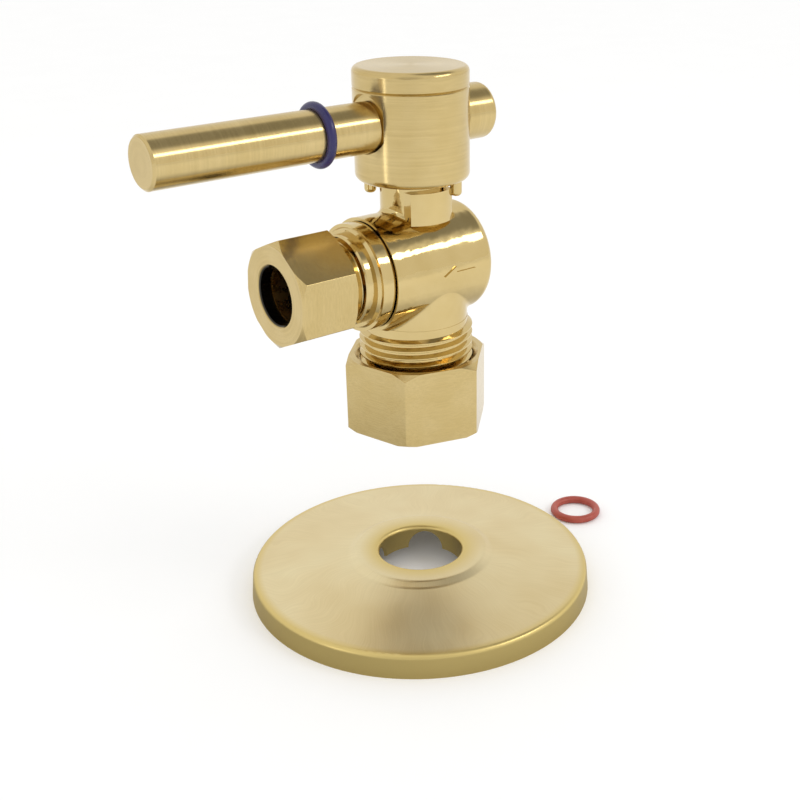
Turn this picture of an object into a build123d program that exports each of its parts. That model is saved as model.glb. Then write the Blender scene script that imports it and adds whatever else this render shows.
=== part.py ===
"""Quarter-turn angle stop valve, 5/8 in compression inlet to 3/8 in compression outlet.

The inlet and the stem share the Z axis, and the outlet and the lever point along -X.
The origin is the centre of the body's inlet end face. The marked side faces -Y.
The handle is shown open, with the lever in line with the outlet.
"""
import os
from math import cos, radians, sin, sqrt

from build123d import *

os.makedirs("parts", exist_ok=True)

# ================================================================ driving dimensions, mm
# Heights above the body's inlet end face.
OUTLET_Z = 24.0  # outlet axis and ball centre
HUB_BOTTOM = 39.4
LEVER_Z = 49.2
HUB_TOP = 55.05
CAP_TOP = 58.5
WALL_Z = -42.0  # plane that the escutcheon's rim rests on

# Standard tube, thread and hexagon sizes.
INCH = 25.4
THREAD_DEPTH = 0.61  # as a share of the pitch
THREAD_SUNK = 0.12  # how far a ridge reaches into its core
INLET_THREAD_R = 13 / 16 * INCH / 2
INLET_PITCH = INCH / 18
INLET_HEX = 15 / 16 * INCH
INLET_BORE_R = 8.05  # takes 5/8 in tube
OUTLET_THREAD_R = 9 / 16 * INCH / 2
OUTLET_PITCH = INCH / 24
OUTLET_HEX = 16.8
HEX_EDGE_ROUND = 0.2
OUTLET_BORE_R = 4.82  # takes 3/8 in tube

# Clearances.
RUNNING_GAP = 0.05  # round the stem, and at the ends of blind fits
NUT_GAP = 0.13  # between a nut's plain bore and the thread crests
SEAT_GAP = 0.1  # round the ball, and round each ferrule

# Body.
BARREL_R = 10.0
BARREL_FRONT = -11.0
BARREL_BACK = 10.5
BARREL_ROUND = 1.8
BOSS_R = 9.4
BOSS_BOTTOM = 13.9
BOSS_FILLET = 1.0
NECK_R = 5.8
NECK_FILLET = 1.0
NECK_TOP = HUB_BOTTOM - 0.3
INLET_TUBE_STOP = 13.0
WATERWAY_R = 5.0
CHAMBER_R = 6.6
CHAMBER_HALF = 6.9
SPIGOT_R = 7.1
ARROW_X = 0.6
ARROW_HEIGHT = 0.28

# Ball, seats and stem.
BALL_R = 6.35
PORT_R = 3.4
SEAT_BORE_R = PORT_R + 0.3
BACK_SEAT_BORE_R = 2.0
SEAT_REACH = 4.4  # nearest that a seat ring comes to the stem's axis
BALL_TOP = OUTLET_Z + 5.8
SLOT_FLOOR = OUTLET_Z + 4.2
TONGUE_WIDTH = 2.9
STEM_R = 2.95
FLANGE_R = 4.1
FLANGE_BOTTOM = BALL_TOP + 0.1
FLANGE_TOP = FLANGE_BOTTOM + 1.2
WASHER_TOP = FLANGE_TOP + 0.6
STEM_SQUARE = 4.1
STEM_TOP = HUB_BOTTOM + 5.1
STEM_GROOVE_R = 2.05
STEM_GROOVE_WIDTH = 1.4
STEM_RING_HEIGHTS = (33.6, 36.1)

# Handle.
HUB_R = 9.95
HUB_ROUND = 1.2
SPOT_X = 9.0  # flats that the lever and its knob seat on
LEVER_SPOT_Z = 49.75
LEVER_SPOT_R = 4.95
KNOB_SPOT_R = 5.0
RECESS_R = 7.6
RECESS_FLOOR = 53.0
CAP_ROUND = 1.0
GROOVE_CHAMFER = 0.25  # on both edges of the line between cap and hub
LEVER_R = 4.25
LEVER_END = -50.1
LEVER_CHAMFER = 0.4
TAIL_R = 3.0
TAIL_END = 13.0
KNOB_R = 4.85
KNOB_END = 15.4
KNOB_ROUND = 0.9
SCREW_R = 1.75
SCREW_HOLE_R = 1.85
SCREW_TIP = 38.0
SCREW_HEAD_R = 3.1
SCREW_HEAD_HEIGHT = 1.4
SCREW_CROSS = 3.6
LOCK_WASHER_R = 3.4
LOCK_WASHER_THICK = 0.5

# Stop pins under the hub, and the lug that they meet.
PIN_R = 1.05
PIN_CIRCLE_R = 7.6
PIN_BOTTOM = HUB_BOTTOM - 2.9
PIN_TOP = HUB_BOTTOM + 3.0
PIN_ANGLE = -49.0  # of the pin that rests on the lug when open
HANDLE_TURN = 90.0
LUG_R = 7.15
LUG_BOTTOM = 32.6
LUG_TOP = HUB_BOTTOM - 1.3

# Rubber marker rings.
RING_SECTION_R = 0.8
RING_INNER_R = 3.8
RING_X = -19.3
SPARE_RING_X = 43.0

# Outlet adapter.
COLLAR_R = 9.4
COLLAR_FRONT = -14.2
COLLAR_BACK = -11.25
COLLAR_STEP = 0.6
SHOULDER_FRONT = -15.9
SHOULDER_R = 7.9
SHOULDER_CHAMFER = 0.3
OUTLET_TUBE_STOP = -14.3
ADAPTER_END = -24.0
GLAND_FRONT = BARREL_FRONT + 0.5
GLAND_WIDTH = 1.2
GLAND_DEPTH = 1.1

# Compression nuts, the step inside each, and the cone and belt of each ferrule.
NUT_BREAK = 0.4  # chamfer on the edges of a nut's bore
INLET_NUT_BOTTOM = -6.4
INLET_NUT_TOP = 7.4
INLET_NUT_STEP = -1.8
INLET_MOUTH = 0.9
INLET_CONE_R = 9.0
INLET_CONE_DEPTH = 4.1
INLET_BELT_R = 8.9
OUTLET_NUT_FACE = -29.1
OUTLET_NUT_REAR = -18.2
OUTLET_NUT_STEP = -25.2
OUTLET_CONE_R = 6.05
OUTLET_CONE_DEPTH = 4.4
OUTLET_BELT_R = 5.85

# Escutcheon.
PLATE_R = 2.625 * INCH / 2
PLATE_SHEET = 0.5
PLATE_RIM = 4.5
PLATE_BOSS_R = 13.5
PLATE_HEIGHT = 7.5
PLATE_HOLE_R = 8.15
PLATE_SKIRT = 4.6
PLATE_ROUNDS = (0.9, 1.6, 1.2, 0.8)  # rim, dish, boss and hole
ARCH_R = 3.5
LOBES = 4

OUTLET_AXIS = Axis((0, 0, OUTLET_Z), (1, 0, 0))
LEVER_AXIS = Axis((0, 0, LEVER_Z), (1, 0, 0))


# ================================================================ shared builders
def save(part, name):
    """Label one finished piece and write its STEP file."""
    part.label = name
    export_step(part, f"parts/{name}.step")


def profile(*points, centre=0.0):
    """A closed outline in the XZ plane, ready to revolve. Heights are above centre."""
    with BuildSketch(Plane.XZ) as section:
        with BuildLine():
            Polyline(*[(x, centre + height) for x, height in points], close=True)
        make_face()
    return section.sketch


def thread_ridge(crest_r, pitch, length):
    """A right-hand helical ridge about +Z from z = 0, a little sunk into its core."""
    root_r = crest_r - THREAD_DEPTH * pitch
    foot = 0.44 * pitch
    crest = 0.07 * pitch
    with BuildPart() as ridge:
        with BuildLine():
            path = Helix(pitch=pitch, height=length, radius=root_r)
        with BuildSketch(Plane(origin=path @ 0, x_dir=(1, 0, 0), z_dir=path % 0)):
            with BuildLine():
                Polyline(
                    (-THREAD_SUNK, -foot),
                    (-THREAD_SUNK, foot),
                    (crest_r - root_r, crest),
                    (crest_r - root_r, -crest),
                    close=True,
                )
            make_face()
        sweep(path=path, is_frenet=True)
    return ridge.part


def hex_blank(across_flats, length, turn, end_cut, top_cut):
    """A hexagonal bar on +Z from z = 0. Each cut is a corner chamfer: radial, axial."""
    corner_r = across_flats / sqrt(3)
    with BuildPart() as blank:
        with BuildSketch() as outline:
            RegularPolygon(corner_r, 6, rotation=turn)
            fillet(outline.vertices(), HEX_EDGE_ROUND)
        extrude(amount=length)
        envelope = profile(
            (0, 0),
            (corner_r - end_cut[0], 0),
            (corner_r, end_cut[1]),
            (corner_r, length - top_cut[1]),
            (corner_r - top_cut[0], length),
            (0, length),
        )
        revolve(envelope, axis=Axis.Z, mode=Mode.INTERSECT)
    return blank.part


# ================================================================ body
inlet_root_r = INLET_THREAD_R - THREAD_DEPTH * INLET_PITCH
lug_right = PIN_CIRCLE_R * cos(radians(PIN_ANGLE)) - PIN_R - RUNNING_GAP
lug_left = PIN_CIRCLE_R * cos(radians(180 + PIN_ANGLE + HANDLE_TURN)) + PIN_R + RUNNING_GAP

with BuildPart() as valve_body:
    with BuildSketch(Plane.YZ.offset(BARREL_FRONT)):
        with Locations((0, OUTLET_Z)):
            Circle(BARREL_R)
    extrude(amount=BARREL_BACK - BARREL_FRONT)
    fillet(valve_body.faces().sort_by(Axis.X)[-1].edges(), BARREL_ROUND)
    # Inlet boss and stem neck, each blended into the barrel.
    with BuildSketch(Plane.XY.offset(BOSS_BOTTOM)):
        Circle(BOSS_R)
    extrude(amount=OUTLET_Z - BOSS_BOTTOM)
    fillet(valve_body.edges(Select.LAST).filter_by(GeomType.BSPLINE), BOSS_FILLET)
    with BuildSketch(Plane.XY.offset(OUTLET_Z)):
        Circle(NECK_R)
    extrude(amount=NECK_TOP - OUTLET_Z)
    fillet(valve_body.edges(Select.LAST).filter_by(GeomType.BSPLINE), NECK_FILLET)
    # Stop lug for the handle pins.
    with BuildSketch(Plane.XY.offset(LUG_BOTTOM)):
        Circle(LUG_R)
        with Locations(((lug_left + lug_right) / 2, -LUG_R / 2)):
            Rectangle(lug_right - lug_left, LUG_R, mode=Mode.INTERSECT)
    extrude(amount=LUG_TOP - LUG_BOTTOM)
    # Threaded inlet end, with a lead-in that also trims the ridge.
    with BuildSketch():
        Circle(inlet_root_r)
    extrude(amount=BOSS_BOTTOM + 0.4)
    add(thread_ridge(INLET_THREAD_R, INLET_PITCH, BOSS_BOTTOM - INLET_PITCH / 2))
    lead_in_r = inlet_root_r - 2 * THREAD_SUNK
    lead_in = profile((lead_in_r, 0), (12, 2.3), (12, -2), (lead_in_r, -2))
    revolve(lead_in, axis=Axis.Z, mode=Mode.SUBTRACT)
    # Raised flow arrow on the marked side, pointing at the outlet.
    with BuildSketch(Plane.XZ.offset(BARREL_R - 0.6)):
        with Locations((ARROW_X + 2.6, OUTLET_Z)):
            Rectangle(5.2, 0.9)
        with Locations((ARROW_X, OUTLET_Z)):
            RegularPolygon(1.7, 3, rotation=180)
    extrude(amount=0.6 + ARROW_HEIGHT)
    # Tube socket with its seat cone, and the waterway up to the ball.
    tube_socket = profile(
        (0, 0),
        (INLET_CONE_R, 0),
        (INLET_BORE_R, INLET_CONE_DEPTH),
        (INLET_BORE_R, INLET_TUBE_STOP),
        (WATERWAY_R, INLET_TUBE_STOP + 0.8),
        (WATERWAY_R, OUTLET_Z),
        (0, OUTLET_Z),
    )
    revolve(tube_socket, axis=Axis.Z, mode=Mode.SUBTRACT)
    # Ball chamber, open to the outlet side.
    chamber = profile(
        (BARREL_FRONT, 0),
        (BARREL_FRONT, SPIGOT_R),
        (-CHAMBER_HALF, SPIGOT_R),
        (-CHAMBER_HALF, CHAMBER_R),
        (CHAMBER_HALF, CHAMBER_R),
        (CHAMBER_HALF, 0),
        centre=OUTLET_Z,
    )
    revolve(chamber, axis=OUTLET_AXIS, mode=Mode.SUBTRACT)
    # Pocket for the stem's flange, and the stem bore above it.
    with BuildSketch(Plane.XY.offset(OUTLET_Z)):
        Circle(FLANGE_R + 0.15)
    extrude(amount=WASHER_TOP + RUNNING_GAP - OUTLET_Z, mode=Mode.SUBTRACT)
    with BuildSketch(Plane.XY.offset(OUTLET_Z)):
        Circle(STEM_R + RUNNING_GAP)
    extrude(amount=NECK_TOP - OUTLET_Z, mode=Mode.SUBTRACT)
save(valve_body.part, "valve_body")

# ================================================================ outlet adapter
outlet_root_r = OUTLET_THREAD_R - THREAD_DEPTH * OUTLET_PITCH
outlet_end_plane = Plane(origin=(ADAPTER_END, 0, OUTLET_Z), x_dir=(0, 0, 1), z_dir=(1, 0, 0))
outlet_thread_length = SHOULDER_FRONT - ADAPTER_END - OUTLET_PITCH / 4
gland_back = GLAND_FRONT + GLAND_WIDTH

with BuildPart() as outlet_adapter:
    # Threaded end, shoulder, stepped collar, and the spigot with its O-ring gland.
    adapter_outline = profile(
        (ADAPTER_END, 0),
        (ADAPTER_END, outlet_root_r),
        (SHOULDER_FRONT, outlet_root_r),
        (SHOULDER_FRONT, SHOULDER_R - SHOULDER_CHAMFER),
        (SHOULDER_FRONT + SHOULDER_CHAMFER, SHOULDER_R),
        (COLLAR_FRONT, SHOULDER_R),
        (COLLAR_FRONT, COLLAR_R - 1.5 * COLLAR_STEP),
        (COLLAR_FRONT + COLLAR_STEP, COLLAR_R - COLLAR_STEP),
        (COLLAR_FRONT + COLLAR_STEP, COLLAR_R),
        (COLLAR_BACK, COLLAR_R),
        (COLLAR_BACK, COLLAR_R - COLLAR_STEP),
        (BARREL_FRONT, COLLAR_R - COLLAR_STEP),
        (BARREL_FRONT, SPIGOT_R),
        (GLAND_FRONT, SPIGOT_R),
        (GLAND_FRONT, SPIGOT_R - GLAND_DEPTH),
        (gland_back, SPIGOT_R - GLAND_DEPTH),
        (gland_back, SPIGOT_R),
        (-CHAMBER_HALF, SPIGOT_R),
        (-CHAMBER_HALF, 0),
        centre=OUTLET_Z,
    )
    revolve(adapter_outline, axis=OUTLET_AXIS)
    outlet_ridge = thread_ridge(OUTLET_THREAD_R, OUTLET_PITCH, outlet_thread_length)
    add(outlet_end_plane.from_local_coords(outlet_ridge))
    adapter_lead_in_r = outlet_root_r - 2 * THREAD_SUNK
    adapter_lead_in = profile(
        (ADAPTER_END - 1, adapter_lead_in_r),
        (ADAPTER_END, adapter_lead_in_r),
        (ADAPTER_END + 1.6, COLLAR_R),
        (ADAPTER_END - 1, COLLAR_R),
        centre=OUTLET_Z,
    )
    revolve(adapter_lead_in, axis=OUTLET_AXIS, mode=Mode.SUBTRACT)
    # Tube socket with its seat cone, and the waterway on to the ball.
    adapter_bore = profile(
        (ADAPTER_END, 0),
        (ADAPTER_END, OUTLET_CONE_R),
        (ADAPTER_END + OUTLET_CONE_DEPTH, OUTLET_BORE_R),
        (OUTLET_TUBE_STOP, OUTLET_BORE_R),
        (OUTLET_TUBE_STOP + 0.6, SEAT_BORE_R),
        (-CHAMBER_HALF, SEAT_BORE_R),
        (-CHAMBER_HALF, 0),
        centre=OUTLET_Z,
    )
    revolve(adapter_bore, axis=OUTLET_AXIS, mode=Mode.SUBTRACT)
save(outlet_adapter.part, "outlet_adapter")

gland_ring_r = GLAND_DEPTH / 2 - RUNNING_GAP
with BuildPart() as adapter_o_ring:
    with BuildSketch(Plane.XZ):
        with Locations((GLAND_FRONT + GLAND_WIDTH / 2, OUTLET_Z + SPIGOT_R - GLAND_DEPTH / 2)):
            Circle(gland_ring_r)
    revolve(axis=OUTLET_AXIS)
save(adapter_o_ring.part, "adapter_o_ring")

# ================================================================ ball, seats and stem
with BuildPart() as ball:
    with Locations((0, 0, OUTLET_Z)):
        Sphere(BALL_R)
    # Flat top with the stem's slot, then the two legs of the L-shaped port.
    with BuildSketch(Plane.XY.offset(BALL_TOP)):
        Circle(BALL_R)
    extrude(amount=BALL_R, mode=Mode.SUBTRACT)
    with BuildSketch(Plane.XY.offset(SLOT_FLOOR)):
        Rectangle(TONGUE_WIDTH + 2 * RUNNING_GAP, 2 * BALL_R)
    extrude(amount=BALL_R, mode=Mode.SUBTRACT)
    with BuildSketch(Plane.XY.offset(OUTLET_Z)):
        Circle(PORT_R)
    extrude(amount=-BALL_R, mode=Mode.SUBTRACT)
    with BuildSketch(Plane.YZ):
        with Locations((0, OUTLET_Z)):
            Circle(PORT_R)
    extrude(amount=-BALL_R, mode=Mode.SUBTRACT)
    with Locations((0, 0, OUTLET_Z)):
        Sphere(PORT_R, mode=Mode.SUBTRACT)
save(ball.part, "ball")


def seat_ring(side, inner_r):
    """A PTFE ring on one side of the ball, dished to its curve."""
    outer_r = CHAMBER_R - RUNNING_GAP
    back_x = CHAMBER_HALF - RUNNING_GAP
    with BuildPart() as ring:
        with BuildSketch(Plane.XZ):
            with Locations((side * (SEAT_REACH + back_x) / 2, OUTLET_Z + (inner_r + outer_r) / 2)):
                Rectangle(back_x - SEAT_REACH, outer_r - inner_r)
            with Locations((0, OUTLET_Z)):
                Circle(BALL_R + SEAT_GAP, mode=Mode.SUBTRACT)
        revolve(axis=OUTLET_AXIS)
    return ring.part


save(seat_ring(-1, SEAT_BORE_R), "outlet_seat")
save(seat_ring(1, BACK_SEAT_BORE_R), "back_seat")

with BuildPart() as stem:
    # Tongue, flange, round shank and the square that drives the hub.
    with BuildSketch(Plane.XY.offset(SLOT_FLOOR + SEAT_GAP)):
        Circle(FLANGE_R - 0.2)
        Rectangle(TONGUE_WIDTH, 2 * FLANGE_R, mode=Mode.INTERSECT)
    extrude(amount=FLANGE_BOTTOM - SLOT_FLOOR - SEAT_GAP)
    with BuildSketch(Plane.XY.offset(FLANGE_BOTTOM)):
        Circle(FLANGE_R)
    extrude(amount=FLANGE_TOP - FLANGE_BOTTOM)
    with BuildSketch(Plane.XY.offset(FLANGE_TOP)):
        Circle(STEM_R)
    extrude(amount=HUB_BOTTOM - FLANGE_TOP)
    with BuildSketch(Plane.XY.offset(HUB_BOTTOM)):
        Rectangle(STEM_SQUARE, STEM_SQUARE)
    extrude(amount=STEM_TOP - HUB_BOTTOM)
    # O-ring grooves and the screw's hole.
    for height in STEM_RING_HEIGHTS:
        with BuildSketch(Plane.XY.offset(height - STEM_GROOVE_WIDTH / 2)):
            Circle(STEM_R)
            Circle(STEM_GROOVE_R, mode=Mode.SUBTRACT)
        extrude(amount=STEM_GROOVE_WIDTH, mode=Mode.SUBTRACT)
    with BuildSketch(Plane.XY.offset(STEM_TOP)):
        Circle(SCREW_R)
    extrude(amount=SCREW_TIP - 0.4 - STEM_TOP, mode=Mode.SUBTRACT)
save(stem.part, "stem")

with BuildPart() as stem_thrust_washer:
    with BuildSketch(Plane.XY.offset(FLANGE_TOP)):
        Circle(FLANGE_R)
        Circle(STEM_R, mode=Mode.SUBTRACT)
    extrude(amount=WASHER_TOP - FLANGE_TOP)
save(stem_thrust_washer.part, "stem_thrust_washer")

stem_ring_r = (STEM_R - STEM_GROOVE_R) / 2 - 0.02
with BuildPart() as stem_o_rings:
    for height in STEM_RING_HEIGHTS:
        with Locations((0, 0, height)):
            Torus(STEM_GROOVE_R + stem_ring_r, stem_ring_r)
save(stem_o_rings.part, "stem_o_rings")

# ================================================================ handle
pin_places = []
for pin_angle in (PIN_ANGLE, PIN_ANGLE + 180):
    pin_places.append((PIN_CIRCLE_R * cos(radians(pin_angle)), PIN_CIRCLE_R * sin(radians(pin_angle))))

with BuildPart() as handle_hub:
    with BuildSketch(Plane.XY.offset(HUB_BOTTOM)):
        Circle(HUB_R)
    extrude(amount=HUB_TOP - HUB_BOTTOM)
    fillet(handle_hub.edges().sort_by(Axis.Z)[0], HUB_ROUND)
    chamfer(handle_hub.edges().sort_by(Axis.Z)[-1], GROOVE_CHAMFER)
    # Spot faces, and the bore for the lever's tail.
    for side, height, radius in ((-1, LEVER_SPOT_Z, LEVER_SPOT_R), (1, LEVER_Z, KNOB_SPOT_R)):
        with BuildSketch(Plane.YZ.offset(side * SPOT_X)):
            with Locations((0, height)):
                Circle(radius)
        extrude(amount=side * HUB_R, mode=Mode.SUBTRACT)
    with BuildSketch(Plane.YZ.offset(-HUB_R)):
        with Locations((0, LEVER_Z)):
            Circle(TAIL_R)
    extrude(amount=2 * HUB_R, mode=Mode.SUBTRACT)
    # Square socket for the stem, screw hole, and the recess under the cap.
    with BuildSketch(Plane.XY.offset(HUB_BOTTOM)):
        Rectangle(STEM_SQUARE, STEM_SQUARE)
    extrude(amount=STEM_TOP - HUB_BOTTOM, mode=Mode.SUBTRACT)
    with BuildSketch(Plane.XY.offset(HUB_BOTTOM)):
        Circle(SCREW_HOLE_R)
    extrude(amount=HUB_TOP - HUB_BOTTOM, mode=Mode.SUBTRACT)
    with BuildSketch(Plane.XY.offset(RECESS_FLOOR)):
        Circle(RECESS_R)
    extrude(amount=HUB_TOP - RECESS_FLOOR, mode=Mode.SUBTRACT)
    with BuildSketch(Plane.XY.offset(HUB_BOTTOM)):
        with Locations(*pin_places):
            Circle(PIN_R)
    extrude(amount=PIN_TOP - HUB_BOTTOM, mode=Mode.SUBTRACT)
save(handle_hub.part, "handle_hub")

with BuildPart() as stop_pins:
    with BuildSketch(Plane.XY.offset(PIN_BOTTOM)):
        with Locations(*pin_places):
            Circle(PIN_R)
    extrude(amount=PIN_TOP - PIN_BOTTOM)
    fillet(stop_pins.edges().group_by(Axis.Z)[0], PIN_R * 2 / 3)
save(stop_pins.part, "stop_pins")

with BuildPart() as handle_cap:
    with BuildSketch(Plane.XY.offset(HUB_TOP)):
        Circle(HUB_R)
    extrude(amount=CAP_TOP - HUB_TOP)
    fillet(handle_cap.edges().sort_by(Axis.Z)[-1], CAP_ROUND)
    chamfer(handle_cap.edges().sort_by(Axis.Z)[0], GROOVE_CHAMFER)
    # Ring that snaps into the hub's recess.
    with BuildSketch(Plane.XY.offset(HUB_TOP)):
        Circle(RECESS_R - RUNNING_GAP)
        Circle(RECESS_R - 1.0, mode=Mode.SUBTRACT)
    extrude(amount=RECESS_FLOOR + 0.4 - HUB_TOP)
save(handle_cap.part, "handle_cap")

with BuildPart() as handle_lock_washer:
    with BuildSketch(Plane.XY.offset(RECESS_FLOOR)):
        Circle(LOCK_WASHER_R)
        Circle(SCREW_HOLE_R, mode=Mode.SUBTRACT)
    extrude(amount=LOCK_WASHER_THICK)
save(handle_lock_washer.part, "handle_lock_washer")

screw_seat = RECESS_FLOOR + LOCK_WASHER_THICK
with BuildPart() as handle_screw:
    with BuildSketch(Plane.XY.offset(SCREW_TIP)):
        Circle(SCREW_R)
    extrude(amount=screw_seat - SCREW_TIP)
    with BuildSketch(Plane.XY.offset(screw_seat)):
        Circle(SCREW_HEAD_R)
    extrude(amount=SCREW_HEAD_HEIGHT)
    fillet(handle_screw.edges().sort_by(Axis.Z)[-1], SCREW_HEAD_HEIGHT / 2 - 0.1)
    # Cross recess.
    with BuildSketch(Plane.XY.offset(screw_seat + SCREW_HEAD_HEIGHT)):
        Rectangle(SCREW_CROSS, SCREW_CROSS / 4)
        Rectangle(SCREW_CROSS / 4, SCREW_CROSS)
    extrude(amount=-SCREW_HEAD_HEIGHT / 2, mode=Mode.SUBTRACT)
save(handle_screw.part, "handle_screw")

with BuildPart() as lever:
    # Bar with the marker ring's groove, then the plain tail through the hub.
    bar = profile(
        (LEVER_END, 0),
        (LEVER_END, LEVER_R - LEVER_CHAMFER),
        (LEVER_END + LEVER_CHAMFER, LEVER_R),
        (RING_X - RING_SECTION_R, LEVER_R),
        (RING_X - RING_SECTION_R, RING_INNER_R),
        (RING_X + RING_SECTION_R, RING_INNER_R),
        (RING_X + RING_SECTION_R, LEVER_R),
        (-SPOT_X - LEVER_CHAMFER, LEVER_R),
        (-SPOT_X, LEVER_R - LEVER_CHAMFER),
        (-SPOT_X, TAIL_R),
        (TAIL_END, TAIL_R),
        (TAIL_END, 0),
        centre=LEVER_Z,
    )
    revolve(bar, axis=LEVER_AXIS)
    with BuildSketch(Plane.XY.offset(LEVER_Z - LEVER_R)):
        Circle(SCREW_HOLE_R)
    extrude(amount=2 * LEVER_R, mode=Mode.SUBTRACT)
save(lever.part, "lever")

with BuildPart() as lever_end_knob:
    with BuildSketch(Plane.YZ.offset(SPOT_X)):
        with Locations((0, LEVER_Z)):
            Circle(KNOB_R)
    extrude(amount=KNOB_END - SPOT_X)
    fillet(lever_end_knob.edges().sort_by(Axis.X)[-1], KNOB_ROUND)
    with BuildSketch(Plane.YZ.offset(SPOT_X)):
        with Locations((0, LEVER_Z)):
            Circle(TAIL_R)
    extrude(amount=TAIL_END + RUNNING_GAP - SPOT_X, mode=Mode.SUBTRACT)
save(lever_end_knob.part, "lever_end_knob")

# ================================================================ rubber marker rings
ring_r = RING_INNER_R + RING_SECTION_R
with BuildPart() as indicator_ring:
    with BuildSketch(Plane.XZ):
        with Locations((RING_X, LEVER_Z + ring_r)):
            Circle(RING_SECTION_R)
    revolve(axis=LEVER_AXIS)
save(indicator_ring.part, "indicator_ring")

with BuildPart() as spare_ring:
    with Locations((SPARE_RING_X, 0, WALL_Z + RING_SECTION_R)):
        Torus(ring_r, RING_SECTION_R)
save(spare_ring.part, "spare_ring")

# ================================================================ compression nuts and ferrules
inlet_nut_bore_r = INLET_THREAD_R + NUT_GAP
inlet_nut_hole_r = INLET_BORE_R + 0.1
with BuildPart() as inlet_nut:
    with Locations((0, 0, INLET_NUT_BOTTOM)):
        add(hex_blank(INLET_HEX, INLET_NUT_TOP - INLET_NUT_BOTTOM, 44, (0.9, 0.6), (1.25, 1.1)))
    # Tube hole with its clamping cone, then the thread's bore with a wide mouth.
    inlet_nut_inside = profile(
        (0, INLET_NUT_BOTTOM),
        (inlet_nut_hole_r + NUT_BREAK, INLET_NUT_BOTTOM),
        (inlet_nut_hole_r, INLET_NUT_BOTTOM + NUT_BREAK),
        (inlet_nut_hole_r, INLET_NUT_STEP - 2.5),
        (INLET_BELT_R + 2 * SEAT_GAP, INLET_NUT_STEP),
        (inlet_nut_bore_r, INLET_NUT_STEP),
        (inlet_nut_bore_r, INLET_NUT_TOP - INLET_MOUTH),
        (inlet_nut_bore_r + INLET_MOUTH, INLET_NUT_TOP),
        (0, INLET_NUT_TOP),
    )
    revolve(inlet_nut_inside, axis=Axis.Z, mode=Mode.SUBTRACT)
save(inlet_nut.part, "inlet_nut")

with BuildPart() as inlet_ferrule:
    inlet_sleeve = profile(
        (INLET_BORE_R, INLET_NUT_STEP - 2.1),
        (INLET_BORE_R + 0.2, INLET_NUT_STEP - 2.1),
        (INLET_BELT_R, INLET_NUT_STEP - 0.3),
        (INLET_BELT_R, INLET_NUT_STEP + 0.2),
        (INLET_BORE_R + 0.2, INLET_NUT_STEP + 3.0),
        (INLET_BORE_R, INLET_NUT_STEP + 3.0),
    )
    revolve(inlet_sleeve, axis=Axis.Z)
save(inlet_ferrule.part, "inlet_ferrule")

outlet_nut_bore_r = OUTLET_THREAD_R + NUT_GAP
outlet_nut_hole_r = OUTLET_BORE_R + 0.18
outlet_nut_plane = Plane(origin=(OUTLET_NUT_FACE, 0, OUTLET_Z), x_dir=(0, 0, 1), z_dir=(1, 0, 0))
with BuildPart() as outlet_nut:
    outlet_blank = hex_blank(OUTLET_HEX, OUTLET_NUT_REAR - OUTLET_NUT_FACE, 6, (1.15, 0.9), (1.0, 0.6))
    add(outlet_nut_plane.from_local_coords(outlet_blank))
    # Tube hole with its clamping cone, then the thread's bore.
    outlet_nut_inside = profile(
        (OUTLET_NUT_FACE, 0),
        (OUTLET_NUT_FACE, outlet_nut_hole_r + NUT_BREAK),
        (OUTLET_NUT_FACE + NUT_BREAK, outlet_nut_hole_r),
        (OUTLET_NUT_STEP - 1.7, outlet_nut_hole_r),
        (OUTLET_NUT_STEP, OUTLET_BELT_R + 0.35),
        (OUTLET_NUT_STEP, outlet_nut_bore_r),
        (OUTLET_NUT_REAR - NUT_BREAK, outlet_nut_bore_r),
        (OUTLET_NUT_REAR, outlet_nut_bore_r + NUT_BREAK),
        (OUTLET_NUT_REAR, 0),
        centre=OUTLET_Z,
    )
    revolve(outlet_nut_inside, axis=OUTLET_AXIS, mode=Mode.SUBTRACT)
save(outlet_nut.part, "outlet_nut")

with BuildPart() as outlet_ferrule:
    outlet_sleeve = profile(
        (OUTLET_NUT_STEP - 1.3, OUTLET_BORE_R),
        (OUTLET_NUT_STEP - 1.3, OUTLET_BORE_R + 0.33),
        (OUTLET_NUT_STEP - 0.3, OUTLET_BELT_R),
        (OUTLET_NUT_STEP, OUTLET_BELT_R),
        (OUTLET_NUT_STEP + 2.7, OUTLET_BORE_R + 0.28),
        (OUTLET_NUT_STEP + 2.7, OUTLET_BORE_R),
        centre=OUTLET_Z,
    )
    revolve(outlet_sleeve, axis=OUTLET_AXIS)
save(outlet_ferrule.part, "outlet_ferrule")

# ================================================================ escutcheon
plate_top = WALL_Z + PLATE_HEIGHT
skirt_bottom = plate_top - PLATE_SKIRT
with BuildPart() as escutcheon:
    with BuildSketch(Plane.XZ):
        with BuildLine():
            FilletPolyline(
                (PLATE_R + 0.05, WALL_Z - PLATE_SHEET),
                (PLATE_R - 0.4, WALL_Z + PLATE_RIM),
                (PLATE_BOSS_R + 0.7, plate_top - 0.8),
                (PLATE_BOSS_R - 0.7, plate_top),
                (PLATE_HOLE_R, plate_top),
                (PLATE_HOLE_R, skirt_bottom),
                radius=PLATE_ROUNDS,
            )
            offset(amount=PLATE_SHEET, side=Side.LEFT)
        make_face()
    revolve(axis=Axis.Z)
    # Flat foot on the wall.
    split(bisect_by=Plane.XY.offset(WALL_Z), keep=Keep.TOP)
    # Arches that leave springy lobes round the pipe hole.
    for lobe in range(LOBES):
        turn = 360 / LOBES * (lobe + 0.5)
        with BuildSketch(Plane(origin=(0, 0, skirt_bottom), z_dir=(1, 0, 0)).rotated((0, 0, turn))):
            Circle(ARCH_R)
        extrude(amount=PLATE_HOLE_R + 2 * PLATE_SHEET, mode=Mode.SUBTRACT)
save(escutcheon.part, "escutcheon")
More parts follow.
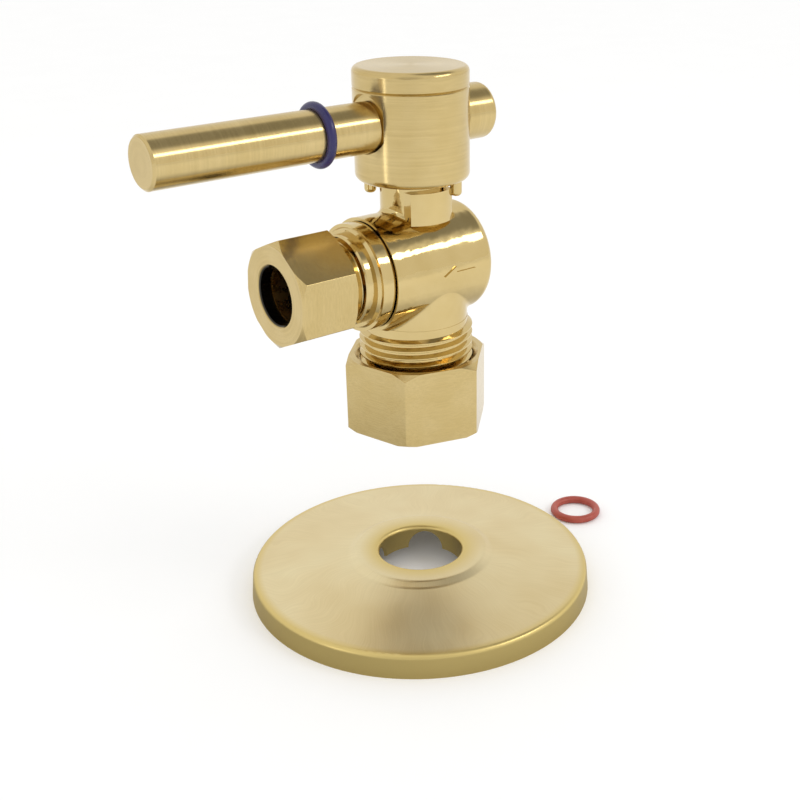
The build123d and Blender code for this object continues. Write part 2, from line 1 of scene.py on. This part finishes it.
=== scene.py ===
"""Finishes, light and camera for the angle stop valve.

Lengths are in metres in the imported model's frame: +Z runs up the inlet and stem, and the
outlet and the lever point along -X. Azimuths are degrees from -Y towards +X.
"""
from math import cos, pi, radians, sin

import bpy
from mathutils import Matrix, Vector


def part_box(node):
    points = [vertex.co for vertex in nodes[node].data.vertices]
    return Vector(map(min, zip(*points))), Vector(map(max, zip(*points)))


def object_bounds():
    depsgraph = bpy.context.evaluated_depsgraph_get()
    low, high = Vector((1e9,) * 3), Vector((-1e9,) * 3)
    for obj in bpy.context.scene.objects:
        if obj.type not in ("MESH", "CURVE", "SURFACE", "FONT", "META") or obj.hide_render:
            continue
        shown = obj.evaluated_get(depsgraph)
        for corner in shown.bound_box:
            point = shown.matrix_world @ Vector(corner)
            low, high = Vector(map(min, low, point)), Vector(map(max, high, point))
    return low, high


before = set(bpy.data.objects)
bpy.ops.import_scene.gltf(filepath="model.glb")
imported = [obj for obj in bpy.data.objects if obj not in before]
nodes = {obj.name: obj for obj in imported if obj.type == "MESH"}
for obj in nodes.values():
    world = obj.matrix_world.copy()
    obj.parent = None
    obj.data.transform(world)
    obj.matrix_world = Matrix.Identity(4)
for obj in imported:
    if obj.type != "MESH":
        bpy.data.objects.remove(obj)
cad_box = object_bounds()
scene = bpy.context.scene

MM = 0.001
X_AXIS = (1, 0, 0)
Z_AXIS = (0, 0, 1)


def middle(node):
    """The centre of a CAD node's box."""
    low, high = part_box(node)
    return (low + high) / 2


def heading(azimuth, elevation):
    """The unit vector that points that way from the object."""
    a, e = radians(azimuth), radians(elevation)
    return Vector((sin(a) * cos(e), -cos(a) * cos(e), sin(e)))


# ---------------------------------------------------------------- shader building blocks
NOISE_LOW = 0.3  # nearly all of a noise texture's values lie between these two
NOISE_HIGH = 0.7


def add_node(tree, kind, settings=None, **inputs):
    """One node. A socket given as an input is linked, and any other value is set."""
    made = tree.nodes.new("ShaderNode" + kind)
    for name, value in (settings or {}).items():
        setattr(made, name, value)
    for name, value in inputs.items():
        socket = made.inputs[name.replace("_", " ")]
        if isinstance(value, bpy.types.NodeSocket):
            tree.links.new(value, socket)
        else:
            socket.default_value = value
    return made


def sum_of(tree, first, second, share):
    """first plus share of second."""
    made = add_node(tree, "Math", {"operation": "MULTIPLY_ADD"})
    tree.links.new(second, made.inputs[0])
    made.inputs[1].default_value = share
    tree.links.new(first, made.inputs[2])
    return made.outputs[0]


def ramp(tree, value, start, end, **settings):
    """0 where the value is at start, rising to 1 at end."""
    made = add_node(tree, "MapRange", settings, Value=value, From_Min=start, From_Max=end)
    return made.outputs["Result"]


def spread(tree, value, low, high):
    """A noise value moved from its usual range into low to high."""
    made = add_node(tree, "MapRange", Value=value, To_Min=low, To_Max=high,
                    From_Min=NOISE_LOW, From_Max=NOISE_HIGH)
    return made.outputs["Result"]


def shades(tree, value, *colours):
    """A colour ramp over the usual range of a noise value."""
    made = add_node(tree, "ValToRGB", Fac=value)
    stops = made.color_ramp.elements
    for index, colour in enumerate(colours):
        place = NOISE_LOW + (NOISE_HIGH - NOISE_LOW) * index / (len(colours) - 1)
        stop = stops[index] if index < 2 else stops.new(place)
        stop.position = place
        stop.color = (*colour, 1)
    return made.outputs["Color"]


def noise(tree, scale, detail=2.0, where=None):
    """Noise over the object, with scale in features per metre along each axis."""
    if where is None:
        where = add_node(tree, "TexCoord").outputs["Object"]
    if not isinstance(scale, tuple):
        scale = (scale, scale, scale)
    mapped = add_node(tree, "Mapping", Vector=where, Scale=scale)
    made = add_node(tree, "TexNoise", Vector=mapped.outputs[0], Scale=1.0, Detail=detail, Roughness=0.6)
    return made.outputs["Fac"]


def vector_step(tree, operation, vector, other=None):
    """The result socket of one vector operation, with a fixed second vector if it needs one."""
    made = add_node(tree, "VectorMath", {"operation": operation})
    tree.links.new(vector, made.inputs[0])
    if other is not None:
        made.inputs[1].default_value = other
    return made.outputs["Value" if operation in ("LENGTH", "DOT_PRODUCT") else "Vector"]


def from_centre(tree, centre):
    """The object's coordinates, measured from a centre."""
    where = add_node(tree, "TexCoord").outputs["Object"]
    return vector_step(tree, "SUBTRACT", where, centre)


def turned_place(tree, centre, axis):
    """Coordinates of a turned piece: radius, height along the axis, and a slow drift."""
    offset = from_centre(tree, centre)
    across = vector_step(tree, "MULTIPLY", offset, [1 - part for part in axis])
    radius = vector_step(tree, "LENGTH", across)
    along = vector_step(tree, "DOT_PRODUCT", offset, axis)
    place = add_node(tree, "CombineXYZ", X=radius, Y=along, Z=noise(tree, 90.0, 1.0))
    return place.outputs[0]


def blank(name, colour, metallic, roughness, **inputs):
    """A material with one Principled shader, and its tree."""
    made = bpy.data.materials.new(name)
    made.use_nodes = True
    shader = made.node_tree.nodes["Principled BSDF"]
    shader.inputs["Base Color"].default_value = (*colour, 1)
    shader.inputs["Metallic"].default_value = metallic
    shader.inputs["Roughness"].default_value = roughness
    for socket, value in inputs.items():
        shader.inputs[socket.replace("_", " ")].default_value = value
    return made, made.node_tree, shader


def wire(tree, shader, colour, roughness, height, depth, strength=1.0):
    """Links the varied colour, roughness and bump to the shader."""
    bump = add_node(tree, "Bump", Height=height, Distance=depth, Strength=strength)
    tree.links.new(colour, shader.inputs["Base Color"])
    tree.links.new(roughness, shader.inputs["Roughness"])
    tree.links.new(bump.outputs[0], shader.inputs["Normal"])


# ---------------------------------------------------------------- finishes
BRASS = (0.63, 0.485, 0.222)
BRASS_DEEP = (0.60, 0.455, 0.198)
BRASS_PALE = (0.66, 0.515, 0.248)
GRAIN_DARK = (0.89, 0.88, 0.855)
BORE_PAINTED_SHADE = (0.045, 0.042, 0.036)
SATIN = (0.79, 0.67, 0.41)
SATIN_DEEP = (0.74, 0.61, 0.35)
SATIN_PALE = (0.83, 0.73, 0.475)
SATIN_EDGE_REFLECTION = (0.70, 0.55, 0.22)
STROKE_DARK = (0.93, 0.92, 0.89)
INNER_DEEP = (0.42, 0.28, 0.11)
INNER_BRASS = (0.55, 0.38, 0.16)
INNER_PALE = (0.6, 0.44, 0.2)
BLUE = (0.016, 0.011, 0.10)
BLUE_DEEP = (0.010, 0.007, 0.075)
RED = (0.46, 0.085, 0.055)
RED_DEEP = (0.36, 0.05, 0.03)
BLACK = (0.03, 0.03, 0.03)
BLACK_DEEP = (0.012, 0.012, 0.012)
CHROME = (0.78, 0.78, 0.78)
CHROME_DEEP = (0.7, 0.7, 0.71)
CHROME_PALE = (0.82, 0.82, 0.82)
PTFE = (0.86, 0.86, 0.84)
PTFE_DEEP = (0.8, 0.79, 0.76)
PTFE_PALE = (0.9, 0.9, 0.88)
STEEL = (0.55, 0.55, 0.56)
STEEL_DEEP = (0.48, 0.48, 0.49)
STEEL_PALE = (0.6, 0.6, 0.61)
BRUSHED_ROUGH = 0.2
POLISHED_ROUGH = 0.08
LATHE_LINES = 4200.0  # per metre
OUTLET_SHADE_R = 5.25 * MM  # painted shade: the nut and adapter are coloured near-black nearer the outlet's axis than this
# Where the escutcheon's painted reflection, a deeper gold on the hole edge and rim, is full, and the
# width over which it fades.
PLATE_HOLE_R = 9.6 * MM
PLATE_HOLE_FADE = 3.0 * MM
PLATE_RIM_R = 32.6 * MM
PLATE_RIM_FADE = 1.5 * MM


def toned(tree, colour, value, darkest):
    """The colour, multiplied by darkest to white over the noise value."""
    tone = shades(tree, value, darkest, (1.0, 1.0, 1.0))
    made = add_node(tree, "MixRGB", {"blend_type": "MULTIPLY"}, Fac=1.0, Color1=colour, Color2=tone)
    return made.outputs["Color"]


def blended(tree, share, colour, other):
    """The colour, giving way to a fixed other colour as the share goes to 1."""
    made = add_node(tree, "MixRGB", Fac=share, Color1=colour, Color2=(*other, 1))
    return made.outputs["Color"]


def bore_shaded(tree, place, colour, bore_shade_r):
    """The colour, turning to a near-black painted shade nearer the axis than the given radius."""
    radius = add_node(tree, "SeparateXYZ", Vector=place).outputs["X"]
    inside = ramp(tree, radius, bore_shade_r + 0.05 * MM, bore_shade_r - 0.1 * MM)
    return blended(tree, inside, colour, BORE_PAINTED_SHADE)


def brushed_brass(name, centre, axis, bore_shade_r):
    """Brass brushed on a lathe: fine rings about the axis, with slightly uneven gloss."""
    made, tree, shader = blank(name, BRASS, 1.0, BRUSHED_ROUGH, Anisotropic=0.7,
                               Anisotropic_Rotation=0.25)
    place = turned_place(tree, centre, axis)
    fine = noise(tree, (LATHE_LINES, LATHE_LINES, 5.0), 2.0, place)
    broad = noise(tree, (LATHE_LINES / 7, LATHE_LINES / 7, 3.0), 2.0, place)
    marks = noise(tree, 140.0, 3.0)
    grain = sum_of(tree, fine, broad, 0.1)
    colour = toned(tree, shades(tree, marks, BRASS_DEEP, BRASS, BRASS_PALE), fine, GRAIN_DARK)
    # painted shade: near-black inside the outlet bore
    if bore_shade_r:
        colour = bore_shaded(tree, place, colour, bore_shade_r)
    uneven = spread(tree, marks, BRUSHED_ROUGH - 0.05, BRUSHED_ROUGH - 0.01)
    gloss = sum_of(tree, uneven, fine, 0.06)
    wire(tree, shader, colour, gloss, grain, 0.009 * MM)
    around = "X" if axis == X_AXIS else "Z"
    ring = add_node(tree, "Tangent", {"direction_type": "RADIAL", "axis": around})
    tree.links.new(ring.outputs[0], shader.inputs["Tangent"])
    return made


def polished_brass(name, centre=None, axis=None, bore_shade_r=0.0):
    """Plated cast brass, buffed bright, with a faint ripple and a few soft spots."""
    made, tree, shader = blank(name, BRASS, 1.0, POLISHED_ROUGH)
    ripple = noise(tree, 260.0, 2.0)
    pits = noise(tree, 2200.0, 4.0)
    marks = noise(tree, 110.0, 3.0)
    colour = shades(tree, marks, BRASS_DEEP, BRASS, BRASS_PALE)
    # painted shade: near-black inside the outlet bore
    if bore_shade_r:
        colour = bore_shaded(tree, turned_place(tree, centre, axis), colour, bore_shade_r)
    gloss = spread(tree, marks, POLISHED_ROUGH - 0.03, POLISHED_ROUGH + 0.04)
    wire(tree, shader, colour, gloss, sum_of(tree, ripple, pits, 0.02), 0.11 * MM)
    return made


def satin_brass(name, centre):
    """Spun sheet brass, hand brushed outwards in short strokes, with a painted reflection: deeper gold
    on the rim and hole edge.
    """
    made, tree, shader = blank(name, SATIN, 1.0, 0.36)
    offset = from_centre(tree, centre)
    parts = add_node(tree, "SeparateXYZ", Vector=offset)
    angle = add_node(tree, "Math", {"operation": "ARCTAN2"})
    tree.links.new(parts.outputs["Y"], angle.inputs[0])
    tree.links.new(parts.outputs["X"], angle.inputs[1])
    radius = vector_step(tree, "LENGTH", offset)
    sway = noise(tree, 45.0, 2.0)
    swept = sum_of(tree, angle.outputs[0], sway, 0.9)
    place = add_node(tree, "CombineXYZ", X=swept, Y=radius, Z=sway)
    strokes = noise(tree, (95.0, 90.0, 2.0), 4.0, place.outputs[0])
    threads = noise(tree, (300.0, 160.0, 3.0), 3.0, place.outputs[0])
    cloud = noise(tree, 55.0, 2.0)
    colour = toned(tree, shades(tree, cloud, SATIN_DEEP, SATIN, SATIN_PALE), strokes, STROKE_DARK)
    # painted reflection: the hole edge and rim turn a deeper gold
    for edge_r, fade in ((PLATE_HOLE_R, PLATE_HOLE_FADE), (PLATE_RIM_R, -PLATE_RIM_FADE)):
        colour = blended(tree, ramp(tree, radius, edge_r + fade, edge_r), colour, SATIN_EDGE_REFLECTION)
    gloss = sum_of(tree, spread(tree, cloud, 0.29, 0.38), strokes, 0.08)
    wire(tree, shader, colour, gloss, sum_of(tree, strokes, threads, 0.6), 0.014 * MM, 0.8)
    return made


def machined_brass(name):
    """Bare brass as turned, a little duller than the outside, and darker still as painted shade for
    parts inside the valve.
    """
    made, tree, shader = blank(name, BRASS, 1.0, 0.28)
    marks = noise(tree, 400.0, 3.0)
    fine = noise(tree, 4000.0, 2.0)
    # darker tones: partly bare brass, partly painted shade for parts inside the valve
    colour = shades(tree, marks, INNER_DEEP, INNER_BRASS, INNER_PALE)
    wire(tree, shader, colour, spread(tree, marks, 0.2, 0.36), fine, 0.006 * MM)
    return made


def rubber(name, deep, pale, rough, coat=0.0):
    """Moulded rubber with a soft, slightly uneven skin."""
    made, tree, shader = blank(name, pale, 0.0, rough, Coat_Weight=coat, Coat_Roughness=0.18)
    marks = noise(tree, 420.0, 3.0)
    skin = noise(tree, 5200.0, 3.0)
    colour = shades(tree, marks, deep, pale)
    wire(tree, shader, colour, spread(tree, marks, rough - 0.07, rough + 0.08), skin, 0.008 * MM)
    return made


def chrome(name):
    """Plated ball with light rub marks."""
    made, tree, shader = blank(name, CHROME, 1.0, 0.08)
    marks = noise(tree, 500.0, 3.0)
    colour = shades(tree, marks, CHROME_DEEP, CHROME_PALE)
    wire(tree, shader, colour, spread(tree, marks, 0.05, 0.14), noise(tree, 3000.0), 0.004 * MM)
    return made


def ptfe(name):
    """White PTFE, waxy and a little mottled."""
    made, tree, shader = blank(name, PTFE, 0.0, 0.45, Subsurface_Weight=0.15)
    marks = noise(tree, 600.0, 3.0)
    colour = shades(tree, marks, PTFE_DEEP, PTFE_PALE)
    wire(tree, shader, colour, spread(tree, marks, 0.38, 0.52), noise(tree, 4000.0), 0.006 * MM)
    return made


def steel(name):
    """Machined steel with fine turning lines."""
    made, tree, shader = blank(name, STEEL, 1.0, 0.3)
    marks = noise(tree, 500.0, 3.0)
    lines = noise(tree, (300.0, 300.0, 6000.0), 2.0)
    colour = shades(tree, marks, STEEL_DEEP, STEEL_PALE)
    wire(tree, shader, colour, spread(tree, marks, 0.22, 0.38), lines, 0.006 * MM)
    return made


turned_about = {
    "handle_hub": Z_AXIS,
    "handle_cap": Z_AXIS,
    "lever": X_AXIS,
    "lever_end_knob": X_AXIS,
    "inlet_nut": Z_AXIS,
    "outlet_nut": X_AXIS,
}
finishes = {}
for name, axis in turned_about.items():
    bore_shade_r = OUTLET_SHADE_R if name == "outlet_nut" else 0.0
    finishes[name] = brushed_brass(name + "_brushed", middle(name), axis, bore_shade_r)
body_finish = polished_brass("body_polished")
finishes.update(valve_body=body_finish, stop_pins=body_finish)
adapter_middle = middle("outlet_adapter")
finishes["outlet_adapter"] = polished_brass("adapter_polished", adapter_middle, X_AXIS, OUTLET_SHADE_R)
finishes["escutcheon"] = satin_brass("escutcheon_satin", middle("escutcheon"))
inner_finish = machined_brass("inner_machined")
finishes.update(dict.fromkeys(("stem", "inlet_ferrule", "outlet_ferrule"), inner_finish))
finishes["indicator_ring"] = rubber("blue_rubber_skin", BLUE_DEEP, BLUE, 0.3, 0.2)
finishes["spare_ring"] = rubber("red_rubber_skin", RED_DEEP, RED, 0.42, 0.2)
seal_finish = rubber("seal_rubber_skin", BLACK_DEEP, BLACK, 0.5)
finishes.update(adapter_o_ring=seal_finish, stem_o_rings=seal_finish)
finishes["ball"] = chrome("ball_chrome_plate")
finishes.update(dict.fromkeys(("outlet_seat", "back_seat", "stem_thrust_washer"), ptfe("ptfe_white")))
finishes.update(dict.fromkeys(("handle_screw", "handle_lock_washer"), steel("steel_machined")))

for name, made in nodes.items():
    for place in made.material_slots:
        place.material = finishes[name]


# ---------------------------------------------------------------- floor, surround and lights
FLOOR_SIDE = 8.0
FLOOR_CENTRE = (-0.012, 0.012)
FLOOR_PAPER = (0.93, 0.93, 0.925)
FLOOR_DEEP = (0.925, 0.925, 0.92)
FLOOR_PALE = (0.935, 0.935, 0.93)
FLOOR_GLOW = 0.06
FLOOR_SHADE = (0.40, 0.39, 0.36)  # what reflections see right under the part
FLOOR_SHADE_R = 0.03  # where that shade is full
FLOOR_SHADE_END = 0.11  # and where it has faded out
SURROUND_LEVEL = 0.95
SURROUND_DIMMING = 0.62
SURROUND_TINT = (1.0, 0.98, 0.93)


def make_floor(height):
    """Pale paper, shaded near the part for reflections only."""
    bpy.ops.mesh.primitive_plane_add(size=FLOOR_SIDE, location=(*FLOOR_CENTRE, height))
    floor = bpy.context.object
    floor.name = "studio_floor"
    made, tree, shader = blank("floor_paper", FLOOR_PAPER, 0.0, 0.9, Emission_Color=(1, 1, 1, 1),
                               Emission_Strength=FLOOR_GLOW)
    colour = shades(tree, noise(tree, 30.0), FLOOR_DEEP, FLOOR_PALE)
    distance = vector_step(tree, "LENGTH", add_node(tree, "TexCoord").outputs["Object"])
    near = ramp(tree, distance, FLOOR_SHADE_END, FLOOR_SHADE_R, interpolation_type="SMOOTHSTEP")
    mirrored = add_node(tree, "Math", {"operation": "MULTIPLY"})
    tree.links.new(add_node(tree, "LightPath").outputs["Is Glossy Ray"], mirrored.inputs[0])
    tree.links.new(near, mirrored.inputs[1])
    tree.links.new(blended(tree, mirrored.outputs[0], colour, FLOOR_SHADE), shader.inputs["Base Color"])
    floor.data.materials.append(made)


def patch(tree, where, azimuth, elevation, half_angle, soft):
    """1 inside a round patch of the surround, and 0 outside its soft edge."""
    facing = vector_step(tree, "DOT_PRODUCT", where, heading(azimuth, elevation))
    outer = cos(radians(half_angle + soft))
    inner = cos(radians(half_angle))
    return ramp(tree, facing, outer, inner, interpolation_type="SMOOTHSTEP")


def make_surround():
    """A white room with two dark patches that only reflections see."""
    world = bpy.data.worlds.new("studio_surround")
    scene.world = world
    world.use_nodes = True
    tree = world.node_tree
    tree.nodes.clear()
    where = add_node(tree, "TexCoord").outputs["Generated"]
    level = add_node(tree, "Math", {"operation": "SUBTRACT"})
    level.inputs[0].default_value = SURROUND_LEVEL
    overhead = patch(tree, where, azimuth=75, elevation=64, half_angle=16, soft=14)
    behind_camera = patch(tree, where, azimuth=-40, elevation=25, half_angle=12, soft=20)
    shade = sum_of(tree, overhead, behind_camera, 0.45)
    dimmed = add_node(tree, "Math", {"operation": "MULTIPLY"})
    tree.links.new(shade, dimmed.inputs[0])
    dimmed.inputs[1].default_value = SURROUND_DIMMING
    tree.links.new(dimmed.outputs[0], level.inputs[1])
    seen = add_node(tree, "Background", Color=(*SURROUND_TINT, 1), Strength=level.outputs[0])
    plain = add_node(tree, "Background", Color=(1, 1, 1, 1), Strength=1.0)
    glossy = add_node(tree, "LightPath").outputs["Is Glossy Ray"]
    both = add_node(tree, "MixShader", Fac=glossy)
    tree.links.new(plain.outputs[0], both.inputs[1])
    tree.links.new(seen.outputs[0], both.inputs[2])
    output = add_node(tree, "OutputWorld")
    tree.links.new(both.outputs[0], output.inputs["Surface"])


def make_softbox(name, target, azimuth, elevation, distance, width, height, radiance):
    """A rectangular light that faces the target node, hidden from the camera."""
    light = bpy.data.lights.new(name, "AREA")
    light.shape = "RECTANGLE"
    light.size = width
    light.size_y = height
    light.energy = radiance * pi * width * height
    made = bpy.data.objects.new(name, light)
    scene.collection.objects.link(made)
    aim = middle(target)
    made.location = aim + heading(azimuth, elevation) * distance
    made.rotation_euler = (aim - made.location).to_track_quat("-Z", "Y").to_euler()
    made.visible_camera = False


make_floor(cad_box[0].z)
make_surround()
make_softbox("key_strip", "lever", azimuth=35, elevation=31, distance=0.60, width=0.34, height=0.085,
             radiance=5.0)
make_softbox("side_strip", "lever", azimuth=-90, elevation=-8, distance=0.30, width=0.035, height=0.16,
             radiance=1.6)


# ---------------------------------------------------------------- camera
CAMERA_PLACE = (-0.1300, -0.1717, 0.0913)
CAMERA_FORWARD = (0.5844, 0.6964, -0.4165)
SENSOR_WIDTH = 36.0
FOCAL_LENGTH = 56.3
FRAME_SHIFT = (-0.0935, 0.0269)


def make_camera():
    """The view down on the marked side, from beyond the lever's end."""
    lens = bpy.data.cameras.new("photo_camera")
    lens.sensor_width = SENSOR_WIDTH
    lens.lens = FOCAL_LENGTH
    lens.shift_x, lens.shift_y = FRAME_SHIFT
    lens.clip_start = 0.01
    camera = bpy.data.objects.new("photo_camera", lens)
    scene.collection.objects.link(camera)
    camera.location = CAMERA_PLACE
    camera.rotation_euler = Vector(CAMERA_FORWARD).to_track_quat("-Z", "Y").to_euler()
    scene.camera = camera


make_camera()
scene.view_settings.view_transform = "Standard"
